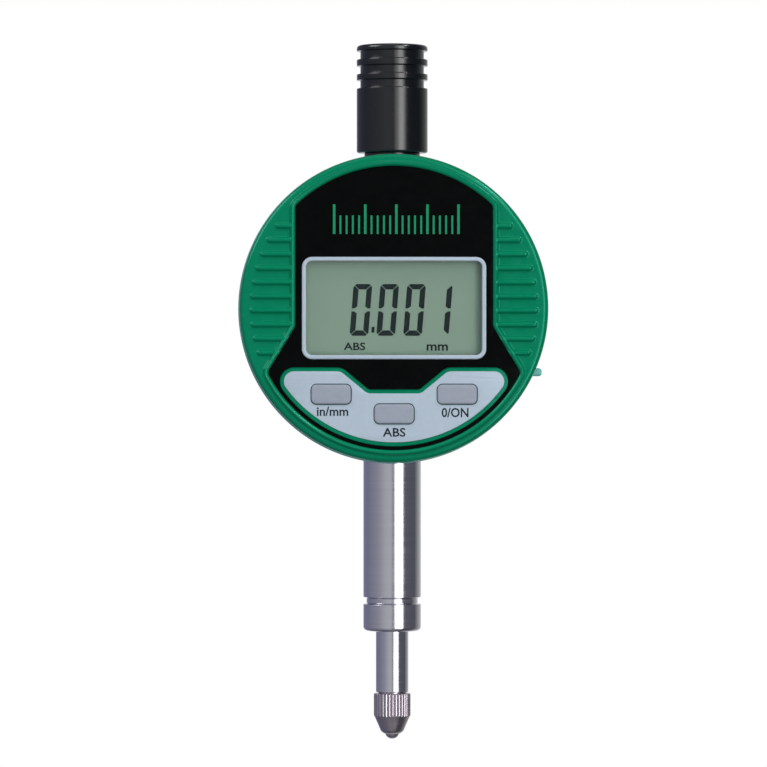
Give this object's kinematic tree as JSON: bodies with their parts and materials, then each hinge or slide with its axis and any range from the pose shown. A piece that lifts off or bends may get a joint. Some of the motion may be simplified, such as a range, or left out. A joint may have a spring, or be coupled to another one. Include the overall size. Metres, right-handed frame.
{
  "type": "dial indicator",
  "caption": "Digital dial indicator: round body with LCD and three keys, 8 mm clamping stem, sprung spindle with contact point, dust cap and lug back.",
  "frame": {"origin": "on the spindle axis, in the middle of the stem's clamping length", "axes": "+Z along the spindle, up to the dust cap; the display faces -Y; +X is to the right of somebody reading the display"},
  "size_m": [0.0424, 0.0342, 0.0958],
  "materials": {
    "green_plastic": "satin moulded plastic",
    "case_plastic": "satin moulded plastic, lighter",
    "dark_cast_metal": "fine textured dark paint",
    "fascia_black": "polished, front printed",
    "cap_black": "satin moulded plastic",
    "key_grey": "fine satin",
    "silver_trim": "pale silver satin",
    "ground_steel": "ground and polished",
    "hardened_steel": "turned and knurled",
    "ball_steel": "polished ball",
    "screw_steel": "zinc plated",
    "spring_steel": "drawn wire",
    "bronze": "sintered bronze",
    "contact_brass": "plated spring strip",
    "seal_rubber": "matt",
    "zebra_rubber": "layered elastomer",
    "board_laminate": "solder mask",
    "chip_epoxy": "moulded epoxy",
    "flex_film": "polyimide film",
    "carrier_plastic": "glass filled",
    "clear_window": "clear",
    "lcd_glass": "polarised",
    "lcd_reflector": "grey-green reflector",
    "lcd_ink": "dark segments",
    "scale_glass": "etched conductor pattern on laminate",
    "cell_steel": "nickel plated"
  },
  "bodies": {
    "case": {"rear_case": "case_plastic", "lug_back": "dark_cast_metal", "back_screws": "screw_steel", "back_gasket": "seal_rubber", "stem": "ground_steel", "lower_bushing": "bronze", "wiper_seal": "seal_rubber", "upper_bushing": "bronze", "top_sleeve": "cap_black", "stop_bumper": "seal_rubber", "return_spring": "spring_steel", "guide_rail": "hardened_steel", "guide_rail_screws": "screw_steel", "sensor_board": "board_laminate", "sensor_board_screws": "screw_steel", "sensor_chip": "chip_epoxy", "sensor_flex": "flex_film", "display_snap_ring": "spring_steel", "display_seal_ring": "seal_rubber", "positive_contact": "contact_brass", "negative_contact": "contact_brass"},
    "spindle": {"spindle_rod": "ground_steel", "contact_point": "hardened_steel", "contact_ball": "ball_steel", "carriage": "hardened_steel", "carriage_clamp_screw": "screw_steel", "guide_pin": "ground_steel", "scale_plate": "scale_glass"},
    "display_head": {"front_bezel": "green_plastic", "fascia_plate": "fascia_black", "window_trim": "silver_trim", "window_lens": "clear_window", "lcd_front_glass": "lcd_glass", "lcd_segments": "lcd_ink", "lcd_rear_glass": "lcd_reflector", "zebra_strips": "zebra_rubber", "main_board": "board_laminate", "main_chip": "chip_epoxy", "display_carrier": "carrier_plastic", "carrier_screws": "screw_steel", "keypad_plate": "silver_trim", "tact_switches": "chip_epoxy", "display_stop_pin": "ground_steel"},
    "units_key": {"units_button": "key_grey"},
    "abs_key": {"abs_button": "key_grey"},
    "zero_key": {"zero_button": "key_grey"},
    "cap": {"dust_cap": "cap_black"},
    "drawer": {"battery_drawer": "case_plastic", "battery_cell": "cell_steel"}
  },
  "joints": [
    {"name": "spindle_slide", "type": "slide", "parent": "case", "child": "spindle", "axis": [0, 0, 1], "range_m": [0, 0.008], "stiffness_N_per_m": 50, "springref_m": -0.01, "deforming": ["return_spring"]},
    {"name": "display_turn", "type": "hinge", "parent": "case", "child": "display_head", "pos_m": [0, 0, 0.0304], "axis": [0, 1, 0], "range_deg": [-135, 135]},
    {"name": "units_press", "type": "slide", "parent": "display_head", "child": "units_key", "axis": [0, 1, 0], "range_m": [0, 0.0003], "stiffness_N_per_m": 400, "springref_m": -0.001},
    {"name": "abs_press", "type": "slide", "parent": "display_head", "child": "abs_key", "axis": [0, 1, 0], "range_m": [0, 0.0003], "stiffness_N_per_m": 400, "springref_m": -0.001},
    {"name": "zero_press", "type": "slide", "parent": "display_head", "child": "zero_key", "axis": [0, 1, 0], "range_m": [0, 0.0003], "stiffness_N_per_m": 400, "springref_m": -0.001},
    {"name": "dust_cap_lift", "type": "slide", "parent": "case", "child": "cap", "axis": [0, 0, 1], "range_m": [0, 0.02]},
    {"name": "battery_drawer_slide", "type": "slide", "parent": "case", "child": "drawer", "axis": [1, 0, 0], "range_m": [0, 0.015]}
  ]
}
